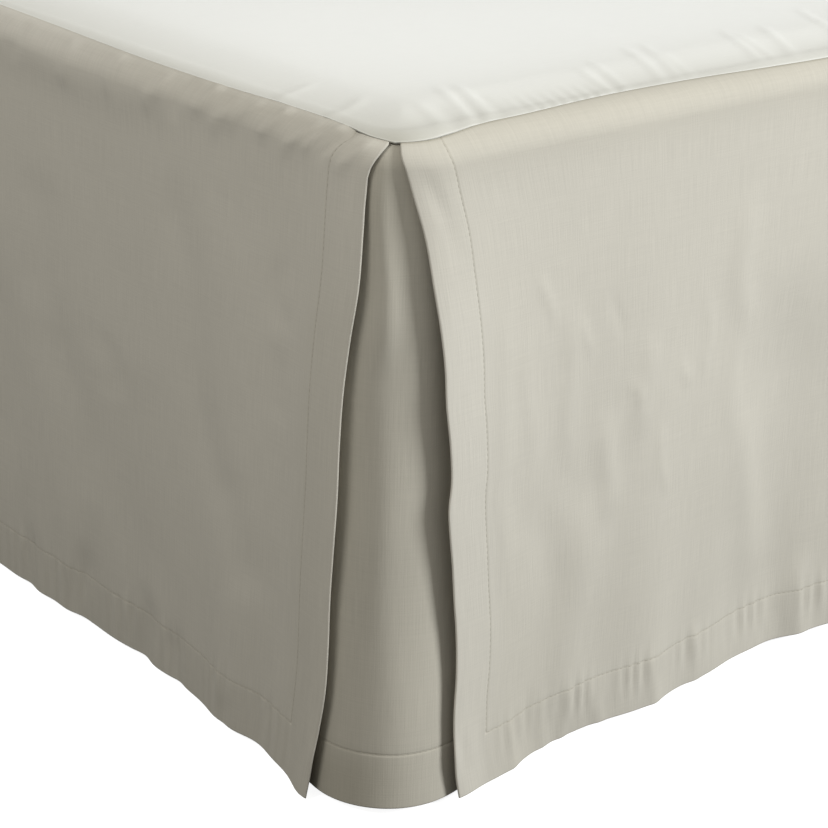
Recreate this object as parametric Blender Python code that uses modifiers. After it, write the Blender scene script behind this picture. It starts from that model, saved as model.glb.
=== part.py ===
"""Tailored bed skirt with split corners, over the plain bed base that carries it. Metres, +Z up.

The foot of the bed faces -Y and the head +Y. The origin is on the floor under the middle. A deck lies on
the base, and three hemmed panels are sewn to its rim and hang to just above the floor: one across the foot
and one down each side. Each foot corner is split, and an insert panel hangs behind the opening.
"""

import math
from collections import namedtuple

import bmesh
import bpy
from mathutils import Vector

# Bed base: a plain upholstered box on six legs
BED_WIDTH = 1.524
BED_LENGTH = 2.032
LEG_HEIGHT = 0.175
LEG_TOP_RADIUS = 0.032
LEG_FOOT_RADIUS = 0.024
LEG_INSET = 0.13
LEG_SIDES = 16
BASE_CORNER = 0.034
BASE_SHOULDER = 0.010
CROWN_BORDER = 0.045
BASE_CROWN = 0.008

# Cloth: its thickness, the gap between sewn pieces, and how far it hangs off the base
CLOTH = 0.002
GAP = 0.0003
INSERT_CLEAR = 0.002
PLY_GAP = 0.0007
PANEL_CLEAR = INSERT_CLEAR + CLOTH + PLY_GAP

# Skirt: the drop from the seam to the hem, and where the pieces end
DROP = 0.381
HEM_ABOVE_FLOOR = 0.006
HEM_FLARE = 0.005
FLARE_POWER = 1.3
HEAD_STOP = 0.042
SPLIT_GAP = 0.002
INSERT_HALF = 0.105
DECK_CROWN = BASE_CROWN - PANEL_CLEAR + GAP
DECK_BORDER = 0.026
DECK_TURN = 0.006

# The seam slips down the shoulder at a split corner, which the two flaps pull at, and the insert's top
# edge is tucked under it
SEAM_SLIP = math.radians(39)
SEAM_SLIP_REACH = 0.065
INSERT_TUCK = math.radians(20)

# How a flap hangs at its free edge: drawn back along the corner, and flared out towards the hem
FlapRow = namedtuple("FlapRow", "drop drawn flare")
FOOT_FLAP = (
    FlapRow(0.004, 0.0015, 0.0),
    FlapRow(0.009, 0.0055, 0.0005),
    FlapRow(0.017, 0.0098, 0.0012),
    FlapRow(0.030, 0.0113, 0.002),
    FlapRow(0.050, 0.0120, 0.003),
    FlapRow(0.080, 0.0133, 0.004),
    FlapRow(0.110, 0.0170, 0.005),
    FlapRow(0.140, 0.0198, 0.0058),
    FlapRow(0.170, 0.0210, 0.0063),
    FlapRow(0.200, 0.0213, 0.0068),
    FlapRow(0.230, 0.0223, 0.0075),
    FlapRow(0.260, 0.0230, 0.0085),
    FlapRow(0.290, 0.0225, 0.0098),
    FlapRow(0.315, 0.0225, 0.0112),
    FlapRow(0.340, 0.0243, 0.0130),
    FlapRow(0.362, 0.0260, 0.0150),
    FlapRow(0.384, 0.0278, 0.0175),
)
SIDE_FLAP = (
    FlapRow(0.004, 0.0013, 0.0),
    FlapRow(0.009, 0.0020, 0.0005),
    FlapRow(0.017, 0.0047, 0.0010),
    FlapRow(0.030, 0.0084, 0.0015),
    FlapRow(0.050, 0.0140, 0.0028),
    FlapRow(0.080, 0.0190, 0.0048),
    FlapRow(0.105, 0.0227, 0.0062),
    FlapRow(0.125, 0.0247, 0.0070),
    FlapRow(0.145, 0.0255, 0.0076),
    FlapRow(0.170, 0.0280, 0.0080),
    FlapRow(0.190, 0.0288, 0.0082),
    FlapRow(0.205, 0.0275, 0.0084),
    FlapRow(0.220, 0.0283, 0.0086),
    FlapRow(0.240, 0.0299, 0.0089),
    FlapRow(0.260, 0.0312, 0.0093),
    FlapRow(0.280, 0.0327, 0.0098),
    FlapRow(0.305, 0.0327, 0.0106),
    FlapRow(0.330, 0.0305, 0.0116),
    FlapRow(0.345, 0.0299, 0.0125),
    FlapRow(0.362, 0.0298, 0.0137),
    FlapRow(0.381, 0.0325, 0.0150),
)
FOOT_OVERHANG = 0.0287
DRAW_REACH = 0.30
FOOT_FLARE_REACH = 0.075
SIDE_FLARE_REACH = 0.110
FOOT_TIP_DIP = 0.003
TIP_DIP_REACH = 0.035

# How the insert panel hangs: the radius of its round corner and how far out its two arms stand
InsertRow = namedtuple("InsertRow", "drop radius near far")
INSERT_SHAPE = (
    InsertRow(0.014, 0.038, -0.0027, -0.0027),
    InsertRow(0.100, 0.038, -0.0027, -0.0027),
    InsertRow(0.200, 0.041, -0.0010, -0.0025),
    InsertRow(0.280, 0.045, 0.0040, -0.0015),
    InsertRow(0.330, 0.047, 0.0090, 0.0),
    InsertRow(0.381, 0.048, 0.0142, 0.0010),
)

# Soft folds that widen the hem: where along the wall from the split corner, how wide and how far out
FoldRow = namedtuple("FoldRow", "along width out")
FOOT_FOLDS = (
    FoldRow(0.118, 0.035, 0.0085),
    FoldRow(0.245, 0.030, -0.002),
    FoldRow(0.330, 0.040, 0.0015),
    FoldRow(0.520, 0.060, 0.004),
    FoldRow(0.760, 0.070, -0.0025),
    FoldRow(1.010, 0.060, 0.0035),
    FoldRow(1.300, 0.050, -0.002),
)
SIDE_FOLDS = (
    FoldRow(0.195, 0.028, 0.0055),
    FoldRow(0.312, 0.036, -0.006),
    FoldRow(0.430, 0.050, 0.003),
    FoldRow(0.640, 0.060, -0.0025),
    FoldRow(0.880, 0.070, 0.004),
    FoldRow(1.150, 0.070, -0.0025),
    FoldRow(1.420, 0.060, 0.004),
    FoldRow(1.700, 0.070, -0.002),
)
FOLD_TOP = 0.06

# Where the cloth is divided: down the panel past its shoulder, and along it from a split corner
SHOULDER_CELLS = 3
PANEL_DROPS = (0.030, 0.052, 0.085, 0.125, 0.172, 0.225, 0.280, 0.330, 0.360, DROP)
INSERT_DROPS = (0.040, 0.085, 0.140, 0.200, 0.255, 0.305, 0.345, DROP)
FLAP_STATIONS = (0.0, 0.006, 0.013, 0.021, 0.030, 0.042, 0.056, 0.072, 0.090, 0.110, 0.130)
FOLD_STEP = 0.020
FOLD_REACH = 0.410
PLAIN_STEP = 0.052
INSERT_CELLS = 18

# Levels and lengths worked out from these
HALF_WIDTH = BED_WIDTH / 2
HALF_LENGTH = BED_LENGTH / 2
SEAM_TOP = HEM_ABOVE_FLOOR + DROP
BASE_RIM = SEAM_TOP - CLOTH - PANEL_CLEAR
BASE_BOTTOM = LEG_HEIGHT + GAP
PANEL_RADIUS = BASE_SHOULDER + PANEL_CLEAR
INSERT_RADIUS = BASE_SHOULDER + INSERT_CLEAR
PANEL_OUT = PANEL_CLEAR + CLOTH
PLAN_CENTRE = BASE_CORNER
PLAN_RADIUS = BASE_CORNER - BASE_SHOULDER
HALF_ARC = (PLAN_RADIUS + PANEL_RADIUS + CLOTH) * math.pi / 4
FOOT_SPAN = 2 * (HALF_WIDTH - PLAN_CENTRE + HALF_ARC - SPLIT_GAP)
SIDE_SPAN = BED_LENGTH - HEAD_STOP - PLAN_CENTRE + HALF_ARC - SPLIT_GAP


def smooth(x):
    """Rises from 0 to 1 with no corner."""
    x = min(max(x, 0.0), 1.0)
    return x * x * (3 - 2 * x)


def look_up(table, drop):
    """The row of the table at this drop, blended between its neighbours."""
    if drop <= table[0].drop:
        return table[0][1:]
    for upper, lower in zip(table, table[1:]):
        if drop <= lower.drop:
            part = (drop - upper.drop) / (lower.drop - upper.drop)
            return tuple(a + (b - a) * part for a, b in zip(upper[1:], lower[1:]))
    return table[-1][1:]


def plan_point(sigma, reach):
    """(along, out) of a point that stands reach outside the centre line of the shoulder.

    Sigma runs along the rounded outline from the corner's middle. Along and out are measured from where
    the base's two faces would meet.
    """
    if sigma >= HALF_ARC:
        return PLAN_CENTRE + sigma - HALF_ARC, reach - BASE_SHOULDER
    turn = (HALF_ARC - sigma) / HALF_ARC * math.pi / 4
    radius = PLAN_RADIUS + reach
    return PLAN_CENTRE - radius * math.sin(turn), radius * math.cos(turn) - PLAN_CENTRE


def seam_angle(sigma):
    """How far round the shoulder the seam lies at sigma from the corner's middle."""
    return SEAM_SLIP * math.exp(-((sigma / SEAM_SLIP_REACH) ** 2))


def fold_out(folds, along):
    return sum(fold.out * math.exp(-(((along - fold.along) / fold.width) ** 2)) for fold in folds)


def panel_section(row, slip):
    """(reach, drop) of the panel's inner face at this row of the grid, on a straight wall."""
    if row <= SHOULDER_CELLS:
        angle = slip + (math.pi / 2 - slip) * row / SHOULDER_CELLS
        return PANEL_RADIUS * math.sin(angle), PANEL_RADIUS * (1 - math.cos(angle))
    drop = PANEL_DROPS[row - SHOULDER_CELLS - 1] - CLOTH
    hung = (drop - PANEL_RADIUS) / (DROP - CLOTH - PANEL_RADIUS)
    return PANEL_RADIUS + HEM_FLARE * hung**FLARE_POWER, drop


def panel_point(row, span, flap, flare_reach, folds, tip_dip):
    """(along, out, z) of the panel's inner face, span along the cloth from its free edge."""
    reach, drop = panel_section(row, seam_angle(SPLIT_GAP + span))
    drawn, flare = look_up(flap, drop + CLOTH)
    drawn *= 1 - smooth(span / DRAW_REACH)
    flare *= 1 - smooth(span / flare_reach)
    along, out = plan_point(SPLIT_GAP + span + drawn, reach + flare)
    hung = max(drop - FOLD_TOP, 0.0) / (DROP - FOLD_TOP)
    dip = tip_dip * (1 - smooth(span / TIP_DIP_REACH)) * hung**4
    return along, out + fold_out(folds, along) * hung, SEAM_TOP - CLOTH - drop - dip


def foot_place(side, along, out, z):
    """A point of the foot wall, measured from its +X corner (side 1) or its -X corner (side -1)."""
    return Vector((side * (HALF_WIDTH - along), -HALF_LENGTH - out, z))


def side_place(side, along, out, z):
    """A point of the +X wall (side 1) or the -X wall (side -1), measured from the foot."""
    return Vector((side * (HALF_WIDTH + out), -HALF_LENGTH + along, z))


def stations(span, fine_reach):
    """Places along a panel from its free edge: close at the flap and the folds, then wide."""
    places = list(FLAP_STATIONS)
    while places[-1] + FOLD_STEP < fine_reach:
        places.append(places[-1] + FOLD_STEP)
    left = span - places[-1]
    count = round(left / PLAIN_STEP)
    places += [places[-1] + left * (i + 1) / count for i in range(count)]
    return places


def collection_with_frame(name):
    """A collection, with the empty that its pieces hang on, set to bring their middle over the origin."""
    collection = bpy.data.collections.new(name)
    bpy.context.scene.collection.children.link(collection)
    frame = bpy.data.objects.new("frame", None)
    frame.location = (0, FOOT_OVERHANG / 2, 0)
    collection.objects.link(frame)
    return collection


def finish(name, mesh, material, collection):
    """Makes the mesh an object with this material."""
    obj = bpy.data.objects.new(name, mesh)
    collection.objects.link(obj)
    obj.parent = collection.objects["frame"]
    mesh.materials.append(material)
    mesh.shade_smooth()
    mesh.set_sharp_from_angle(angle=math.radians(40))
    return obj


def thicken(obj):
    """Gives the sheet the cloth's thickness, out from the face that it was modelled on."""
    modifier = obj.modifiers.new("Cloth", "SOLIDIFY")
    modifier.thickness = CLOTH
    modifier.offset = 1
    modifier.use_even_offset = True


def sheet_from_grid(name, columns, rows, place, material, collection):
    """A sheet whose grid point (column, row) lies at place(column, row), facing away from the bed."""
    bm = bmesh.new()
    bmesh.ops.create_grid(bm, x_segments=columns, y_segments=rows, size=1)
    for vert in bm.verts:
        column = round((vert.co.x + 1) / 2 * columns)
        row = round((1 - vert.co.y) / 2 * rows)
        vert.co = place(column, row)
    bm.normal_update()
    middle = Vector((0, 0, SEAM_TOP / 2))
    if sum(face.normal.dot(face.calc_center_median() - middle) for face in bm.faces) < 0:
        bmesh.ops.reverse_faces(bm, faces=bm.faces)
    mesh = bpy.data.meshes.new(name)
    bm.to_mesh(mesh)
    bm.free()
    obj = finish(name, mesh, material, collection)
    thicken(obj)
    return obj


def principled(name, color, roughness):
    material = bpy.data.materials.new(name)
    material.use_nodes = True
    shader = material.node_tree.nodes["Principled BSDF"]
    shader.inputs["Base Color"].default_value = (*color, 1)
    shader.inputs["Roughness"].default_value = roughness
    shader.inputs["Metallic"].default_value = 0
    return material


def foot_panel(material, collection):
    """The panel across the foot, with a flap at each end. The far half is the near one turned round."""
    half = FOOT_SPAN / 2
    near = [s for s in stations(FOOT_SPAN, FOLD_REACH) if s < half - PLAIN_STEP]
    far = [FOOT_SPAN - s for s in stations(half, 0)]
    spans = near + sorted(far)
    far_folds = [fold._replace(along=BED_WIDTH - fold.along) for fold in FOOT_FOLDS]

    def place(column, row):
        span = spans[column]
        side = 1 if span < half else -1
        from_edge = min(span, FOOT_SPAN - span)
        folds = FOOT_FOLDS if side == 1 else far_folds
        point = panel_point(row, from_edge, FOOT_FLAP, FOOT_FLARE_REACH, folds, FOOT_TIP_DIP)
        return foot_place(side, *point)

    rows = SHOULDER_CELLS + len(PANEL_DROPS)
    return sheet_from_grid("panel_foot", len(spans) - 1, rows, place, material, collection)


def side_panel(name, side, fine_reach, material, collection):
    """The panel down one side, from its flap at the foot to its hemmed end at the head."""
    spans = stations(SIDE_SPAN, fine_reach)

    def place(column, row):
        point = panel_point(row, spans[column], SIDE_FLAP, SIDE_FLARE_REACH, SIDE_FOLDS, 0)
        return side_place(side, *point)

    rows = SHOULDER_CELLS + len(PANEL_DROPS)
    return sheet_from_grid(name, len(spans) - 1, rows, place, material, collection)


def insert_section(row, slip):
    """(reach, drop) of the insert panel's inner face: reach is None below the shoulder."""
    if row <= SHOULDER_CELLS:
        angle = slip + (math.pi / 2 - slip) * row / SHOULDER_CELLS
        level = PANEL_CLEAR - INSERT_CLEAR + INSERT_RADIUS * (1 - math.cos(angle))
        return INSERT_RADIUS * math.sin(angle), level
    return None, INSERT_DROPS[row - SHOULDER_CELLS - 1] - CLOTH


def insert_point(row, sigma):
    """(along, out, z) of the insert's inner face on one wall, sigma from the corner's middle."""
    reach, drop = insert_section(row, max(seam_angle(sigma), INSERT_TUCK))
    if reach is not None:
        along, out = plan_point(sigma, reach)
        return along, out, SEAM_TOP - CLOTH - drop
    radius, near, far = look_up(INSERT_SHAPE, drop + CLOTH)
    radius -= CLOTH
    near += PANEL_OUT - CLOTH
    far += PANEL_OUT - CLOTH
    half_arc = radius * math.pi / 4
    if sigma < half_arc:
        turn = (half_arc - sigma) / radius
        along = radius - near - radius * math.sin(turn)
        return along, near - radius + radius * math.cos(turn), SEAM_TOP - CLOTH - drop
    arm = (sigma - half_arc) / (INSERT_HALF - half_arc)
    along = radius - near + sigma - half_arc
    return along, near + (far - near) * smooth(arm), SEAM_TOP - CLOTH - drop


def insert_panel(name, side, material, collection):
    """The panel behind a split corner: it runs from behind the foot flap to behind the side flap."""

    def place(column, row):
        sigma = INSERT_HALF * (2 * column / INSERT_CELLS - 1)
        wall = foot_place if sigma < 0 else side_place
        return wall(side, *insert_point(row, abs(sigma)))

    rows = SHOULDER_CELLS + len(INSERT_DROPS)
    return sheet_from_grid(name, INSERT_CELLS, rows, place, material, collection)


def deck_rim():
    """The deck's rim at the two split corners, as (wall's function, side, place along the wall)."""
    spans = [0.0] + [SPLIT_GAP + s for s in FLAP_STATIONS]
    quarter = []
    for side in (1, -1):
        foot = [(foot_place, side, sigma) for sigma in reversed(spans[1:])]
        flank = [(side_place, side, sigma) for sigma in spans]
        quarter.append(foot + flank)
    return quarter[0], quarter[1][::-1]


def deck_point(wall, side, sigma, ring):
    """A point of the deck's underside: ring 0 is its rim, 1 is over the shoulder, 2 is the crown's edge."""
    rim = PANEL_RADIUS * seam_angle(sigma) - GAP
    along_cloth = (rim, (rim - DECK_TURN) / 2, -DECK_TURN)[ring]
    if along_cloth > 0:
        angle = along_cloth / PANEL_RADIUS
        reach = PANEL_RADIUS * math.sin(angle)
        fall = PANEL_RADIUS * (1 - math.cos(angle))
    else:
        reach = along_cloth
        fall = 0.0
    along, out = plan_point(sigma, reach)
    return wall(side, along, out, SEAM_TOP - CLOTH - fall)


def head_ring(ring):
    """The deck's two corners at the head, where nothing hangs, as points of this ring."""
    along_cloth = (-GAP, -(GAP + DECK_TURN) / 2, -DECK_TURN)[ring]
    radius = PLAN_RADIUS + along_cloth
    corner = (HALF_WIDTH - PLAN_CENTRE, HALF_LENGTH - PLAN_CENTRE)
    turns = [math.radians(22.5 * i) for i in range(5)]
    right = [
        Vector((corner[0] + radius * math.cos(t), corner[1] + radius * math.sin(t), SEAM_TOP - CLOTH))
        for t in turns
    ]
    return right + [Vector((-p.x, p.y, p.z)) for p in reversed(right)]


def deck(material, collection):
    """The deck: a rim that turns over the shoulder, a sloping border and a flat middle."""
    right, left = deck_rim()
    rings = []
    for ring in range(3):
        points = [deck_point(*station, ring) for station in right]
        points += head_ring(ring)
        points += [deck_point(*station, ring) for station in left]
        rings.append(points)
    across = 1 - DECK_BORDER / HALF_WIDTH
    down = 1 - DECK_BORDER / HALF_LENGTH
    rings.append([Vector((p.x * across, p.y * down, SEAM_TOP - CLOTH + DECK_CROWN)) for p in rings[2]])
    bm = bmesh.new()
    verts = [[bm.verts.new(point) for point in points] for points in rings]
    count = len(rings[0])
    for outer, inner in zip(verts, verts[1:]):
        for i in range(count):
            j = (i + 1) % count
            bm.faces.new((outer[i], outer[j], inner[j], inner[i]))
    bm.faces.new(verts[-1])
    bm.normal_update()
    mesh = bpy.data.meshes.new("deck")
    bm.to_mesh(mesh)
    bm.free()
    obj = finish("deck", mesh, material, collection)
    thicken(obj)
    return obj


def base_box(material, collection):
    """The box: a cube with a crowned top, round corners and round shoulders."""
    bm = bmesh.new()
    bmesh.ops.create_cube(bm, size=1)
    weights = bm.edges.layers.float.new("bevel_weight_edge")
    for edge in bm.edges:
        upright = abs(edge.verts[0].co.z - edge.verts[1].co.z) > 0.5
        edge[weights] = 1.0 if upright else 0.0
    for vert in bm.verts:
        level = BASE_RIM if vert.co.z > 0 else BASE_BOTTOM
        vert.co = Vector((vert.co.x * BED_WIDTH, vert.co.y * BED_LENGTH, level))
    bm.normal_update()
    top = [face for face in bm.faces if face.normal.z > 0.5]
    bmesh.ops.inset_region(bm, faces=top, thickness=CROWN_BORDER, use_even_offset=True)
    bmesh.ops.translate(bm, verts=top[0].verts, vec=(0, 0, BASE_CROWN))
    mesh = bpy.data.meshes.new("base_box")
    bm.to_mesh(mesh)
    bm.free()
    obj = finish("base_box", mesh, material, collection)
    corners = obj.modifiers.new("Corners", "BEVEL")
    corners.limit_method = "WEIGHT"
    corners.width = BASE_CORNER
    corners.segments = 6
    shoulders = obj.modifiers.new("Shoulders", "BEVEL")
    shoulders.limit_method = "ANGLE"
    shoulders.angle_limit = math.radians(50)
    shoulders.width = BASE_SHOULDER
    shoulders.segments = 3
    return obj


def legs(material, collection):
    """Six turned legs: one near each corner and one in the middle of each long side."""
    bm = bmesh.new()
    bmesh.ops.create_cone(
        bm,
        cap_ends=True,
        segments=LEG_SIDES,
        radius1=LEG_FOOT_RADIUS,
        radius2=LEG_TOP_RADIUS,
        depth=LEG_HEIGHT,
    )
    mesh = bpy.data.meshes.new("leg")
    bm.to_mesh(mesh)
    bm.free()
    for end, y in (("foot", -1), ("middle", 0), ("head", 1)):
        for side, x in (("right", 1), ("left", -1)):
            obj = finish(f"leg_{end}_{side}", mesh.copy(), material, collection)
            obj.location = (
                x * (HALF_WIDTH - LEG_INSET),
                y * (HALF_LENGTH - LEG_INSET),
                LEG_HEIGHT / 2,
            )


def main():
    for obj in list(bpy.data.objects):
        bpy.data.objects.remove(obj)
    collection = collection_with_frame("bed_skirt")
    linen = principled("skirt linen", (0.56, 0.54, 0.47), 0.9)
    cotton = principled("deck cotton", (0.84, 0.84, 0.80), 0.9)
    cover = principled("base cover", (0.62, 0.60, 0.56), 0.95)
    wood = principled("leg wood", (0.36, 0.24, 0.15), 0.5)
    base_box(cover, collection)
    legs(wood, collection)
    deck(cotton, collection)
    foot_panel(linen, collection)
    side_panel("panel_right", 1, FOLD_REACH, linen, collection)
    side_panel("panel_left", -1, 0, linen, collection)
    insert_panel("insert_right", 1, linen, collection)
    insert_panel("insert_left", -1, linen, collection)


main()
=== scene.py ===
"""Looks of the bed skirt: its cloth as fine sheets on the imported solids, with sewing, light and camera.

Metres, +Z up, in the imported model's frame: the foot of the bed faces -Y and its head +Y. A point of a
panel is given by its place in the cloth: (span along the panel from its free edge, down from the top of
its shoulder).
"""

import math
from collections import namedtuple

import bpy
import numpy as np
from mathutils import Matrix, Vector

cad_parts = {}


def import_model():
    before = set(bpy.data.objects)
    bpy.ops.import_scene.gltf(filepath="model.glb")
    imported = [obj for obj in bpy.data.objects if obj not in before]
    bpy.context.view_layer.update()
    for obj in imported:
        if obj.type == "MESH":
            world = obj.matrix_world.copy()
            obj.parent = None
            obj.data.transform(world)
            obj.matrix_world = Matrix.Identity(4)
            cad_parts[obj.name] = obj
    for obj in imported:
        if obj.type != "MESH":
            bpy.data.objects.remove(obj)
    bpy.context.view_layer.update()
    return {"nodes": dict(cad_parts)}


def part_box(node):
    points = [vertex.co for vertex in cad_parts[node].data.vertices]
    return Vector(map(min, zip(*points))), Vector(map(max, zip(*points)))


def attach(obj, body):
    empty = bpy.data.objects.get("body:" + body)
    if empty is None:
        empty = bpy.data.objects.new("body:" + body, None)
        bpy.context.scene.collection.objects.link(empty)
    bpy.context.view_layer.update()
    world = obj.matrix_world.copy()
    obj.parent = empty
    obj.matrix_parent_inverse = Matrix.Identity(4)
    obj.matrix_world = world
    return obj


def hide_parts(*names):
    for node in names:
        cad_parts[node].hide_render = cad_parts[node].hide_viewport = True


def rows(kind, *values):
    """A table: these rows of values under the kind's named columns."""
    return tuple(kind(*row) for row in values)


def rows_mm(kind, *values):
    """A table of lengths given in millimetres and kept in metres."""
    return rows(kind, *([value / 1000 for value in row] for row in values))


# Sizes of the solids, as the model was built
BASE_CORNER = 0.034
BASE_SHOULDER = 0.010
PANEL_ROUND = 0.0167
INSERT_ROUND = 0.014
INSERT_LEVEL = 0.0027
PANEL_OUT = 0.0067
DROP = 0.381
HEM_ABOVE_FLOOR = 0.006
HEM_FLARE = 0.005
FLARE_POWER = 1.3
HEAD_STOP = 0.042
SPLIT_GAP = 0.002
INSERT_HALF = 0.105
INSERT_TUCK = math.radians(20)
DECK_CROWN = 0.0036
DECK_SLOPE = 0.045
SEAM_TOP = HEM_ABOVE_FLOOR + DROP
PLAN_RADIUS = BASE_CORNER - BASE_SHOULDER
HALF_ARC = (PLAN_RADIUS + PANEL_ROUND) * math.pi / 4
PANEL_TURN = PANEL_ROUND * math.pi / 2
PANEL_CLOTH = PANEL_TURN + DROP - PANEL_ROUND

# How the free edge of a flap hangs: drawn back along the corner, and flared out towards the hem
FlapRow = namedtuple("FlapRow", "drop drawn flare")
FOOT_FLAP = rows_mm(
    FlapRow,
    (4, 1.5, 0),
    (9, 5.5, 0.5),
    (17, 9.8, 1.2),
    (30, 11.3, 2),
    (50, 12, 3),
    (80, 13.3, 4),
    (110, 17, 5),
    (140, 19.8, 5.8),
    (170, 21, 6.3),
    (200, 21.3, 6.8),
    (230, 22.3, 7.5),
    (260, 23, 8.5),
    (290, 22.5, 9.8),
    (315, 22.5, 11.2),
    (340, 24.3, 13),
    (362, 26, 15),
    (384, 27.8, 17.5),
)
SIDE_FLAP = rows_mm(
    FlapRow,
    (4, 1.3, 0),
    (9, 2, 0.5),
    (17, 4.7, 1),
    (30, 8.4, 1.5),
    (50, 14, 2.8),
    (80, 19, 4.8),
    (105, 22.7, 6.2),
    (125, 24.7, 7),
    (145, 25.5, 7.6),
    (170, 28, 8),
    (190, 28.8, 8.2),
    (205, 27.5, 8.4),
    (220, 28.3, 8.6),
    (240, 29.9, 8.9),
    (260, 31.2, 9.3),
    (280, 32.7, 9.8),
    (305, 32.7, 10.6),
    (330, 30.5, 11.6),
    (345, 29.9, 12.5),
    (362, 29.8, 13.7),
    (381, 32.5, 15),
)
DRAW_REACH = 0.30
FOOT_FLARE_REACH = 0.075
SIDE_FLARE_REACH = 0.110
FOOT_TIP_DIP = 0.003
TIP_DIP_REACH = 0.035

# How the insert panel hangs: the radius of its round corner and how far out its two arms stand
InsertRow = namedtuple("InsertRow", "drop radius near far")
INSERT_SHAPE = rows_mm(
    InsertRow,
    (14, 38, -2.7, -2.7),
    (100, 38, -2.7, -2.7),
    (200, 41, -1, -2.5),
    (280, 45, 4, -1.5),
    (330, 47, 9, 0),
    (381, 48, 14.2, 1),
)

# Soft folds that widen the hem: where along the wall from the split corner, how wide and how far out
FoldRow = namedtuple("FoldRow", "along width out")
FOOT_FOLDS = rows_mm(
    FoldRow,
    (118, 35, 8.5),
    (245, 30, -2),
    (330, 40, 1.5),
    (520, 60, 4),
    (760, 70, -2.5),
    (1010, 60, 3.5),
    (1300, 50, -2),
)
SIDE_FOLDS = rows_mm(
    FoldRow,
    (195, 28, 5.5),
    (312, 36, -6),
    (430, 50, 3),
    (640, 60, -2.5),
    (880, 70, 4),
    (1150, 70, -2.5),
    (1420, 60, 4),
    (1700, 70, -2),
)
FOLD_TOP = 0.06

# How far round the shoulder the seam lies, in degrees, at these places along each wall from a split corner
SlipRow = namedtuple("SlipRow", "along degrees")
FOOT_SLIP = rows(
    SlipRow,
    (0.0, 38),
    (0.018, 30),
    (0.040, 20),
    (0.086, 17),
    (0.140, 23),
    (0.230, 24),
    (0.330, 14),
    (0.440, 4),
    (0.760, 4),
)
SIDE_SLIP = rows(
    SlipRow,
    (0.0, 38),
    (0.018, 35),
    (0.038, 29),
    (0.058, 19),
    (0.096, 14),
    (0.150, 4),
    (0.218, 7),
    (0.278, 18),
    (0.336, 25),
    (0.430, 16),
    (0.700, 8),
    (1.000, 8),
    (1.500, 4),
    (2.000, 0),
)

# Creases left in the cloth: soft ridges, or troughs where height is negative, from one place in it to another
CreaseRow = namedtuple("CreaseRow", "span down to_span to_down width height")
FOOT_CREASES = rows_mm(
    CreaseRow,
    (340, 90, 315, 200, 20.9, -1.4),
    (320, 170, 268, 310, 22.8, -1.5),
    (176, 60, 150, 170, 17.1, -1.1),
    (158, 130, 120, 265, 19, -1.4),
    (77, 90, 53, 135, 9.5, -0.7),
    (68, 138, 55, 190, 9.5, -0.7),
    (395, 150, 400, 340, 36, -2.1),
    (227, 190, 222, 360, 34.2, -1),
    (250, 180, 248, 230, 15.2, -0.7),
    (100, 220, 92, 310, 20.9, -1.5),
    (349, 340, 347, 420, 9, -1.3),
    (287, 330, 287, 425, 12, -2),
    (210, 335, 209, 425, 11, -2),
    (167, 345, 165, 430, 9, -1.5),
    (98, 365, 97, 430, 8, -1.2),
    (54, 31, 34, 2, 3.2, 1.4),
    (40, 29, 22, 4, 2.8, -1.4),
    (24, 34, 6, 10, 3.2, 1.3),
    (70, 36, 52, 8, 4, 1.4),
    (94, 30, 78, 6, 4.2, 1.3),
    (122, 32, 104, 7, 4.5, 1.1),
    (158, 30, 140, 6, 5, 1.1),
    (138, 38, 118, 10, 5, 1.3),
    (180, 36, 162, 8, 5.5, -1.2),
    (206, 38, 186, 10, 6, 1.4),
    (250, 36, 234, 8, 6, 1.1),
    (300, 40, 282, 12, 7, 1.3),
    (356, 36, 340, 10, 7, -1.1),
    (430, 27, 110, 27, 13, 1.5),
    (620, 60, 585, 260, 26.6, -1.5),
    (830, 110, 800, 330, 34.2, -1.4),
    (1060, 70, 1090, 240, 26.6, -1.4),
    (1250, 150, 1270, 340, 34.2, -1.5),
    (1420, 80, 1440, 200, 19, -1.1),
)
SIDE_CREASES = rows_mm(
    CreaseRow,
    (256, 70, 266, 180, 11, 1.4),
    (256, 150, 266, 250, 10, 0.8),
    (278, 210, 290, 360, 14, 1.8),
    (302, 120, 310, 420, 50, -4.6),
    (100, 110, 104, 225, 10, 1.3),
    (107, 225, 112, 400, 21, 2.6),
    (80, 215, 81, 350, 17, -1.4),
    (172, 145, 168, 215, 9, 1),
    (140, 185, 134, 265, 10, 1.5),
    (227, 125, 230, 195, 6, 0.5),
    (76, 95, 90, 130, 3.5, 0.6),
    (109, 130, 125, 153, 3.5, 0.6),
    (152, 172, 170, 193, 4, 0.6),
    (202, 170, 215, 190, 4, 0.6),
    (138, 115, 150, 150, 4, -0.5),
    (185, 205, 192, 255, 5, 0.6),
    (43, 90, 43, 300, 8, 0.9),
    (64, 120, 68, 240, 7, 0.5),
    (10, 20, 14, 80, 5, -0.8),
    (102, 345, 102, 425, 5, 0.9),
    (80, 335, 80, 425, 6, 1),
    (52, 345, 50, 430, 6, 1.1),
    (136, 350, 137, 420, 6, 0.9),
    (190, 340, 192, 425, 7, 1.4),
    (236, 345, 238, 420, 7, 1),
    (338, 330, 342, 425, 8, 1.6),
    (372, 345, 374, 420, 7, 1),
    (520, 80, 535, 300, 16, 1.5),
    (720, 120, 705, 360, 20, 1.8),
    (980, 60, 995, 260, 16, 1.4),
    (1260, 140, 1240, 370, 22, 1.8),
    (1560, 80, 1570, 300, 18, 1.4),
    (1800, 120, 1790, 340, 16, 1.4),
)
INSERT_CREASES = rows_mm(
    CreaseRow,
    (-3, 2, -4, 140, 6.8, 3),
    (-4, 60, -5, 290, 11, 1.3),
    (-5, 180, 8, 400, 12, 0.7),
    (-34, 60, -40, 330, 15, 1.8),
)

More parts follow.
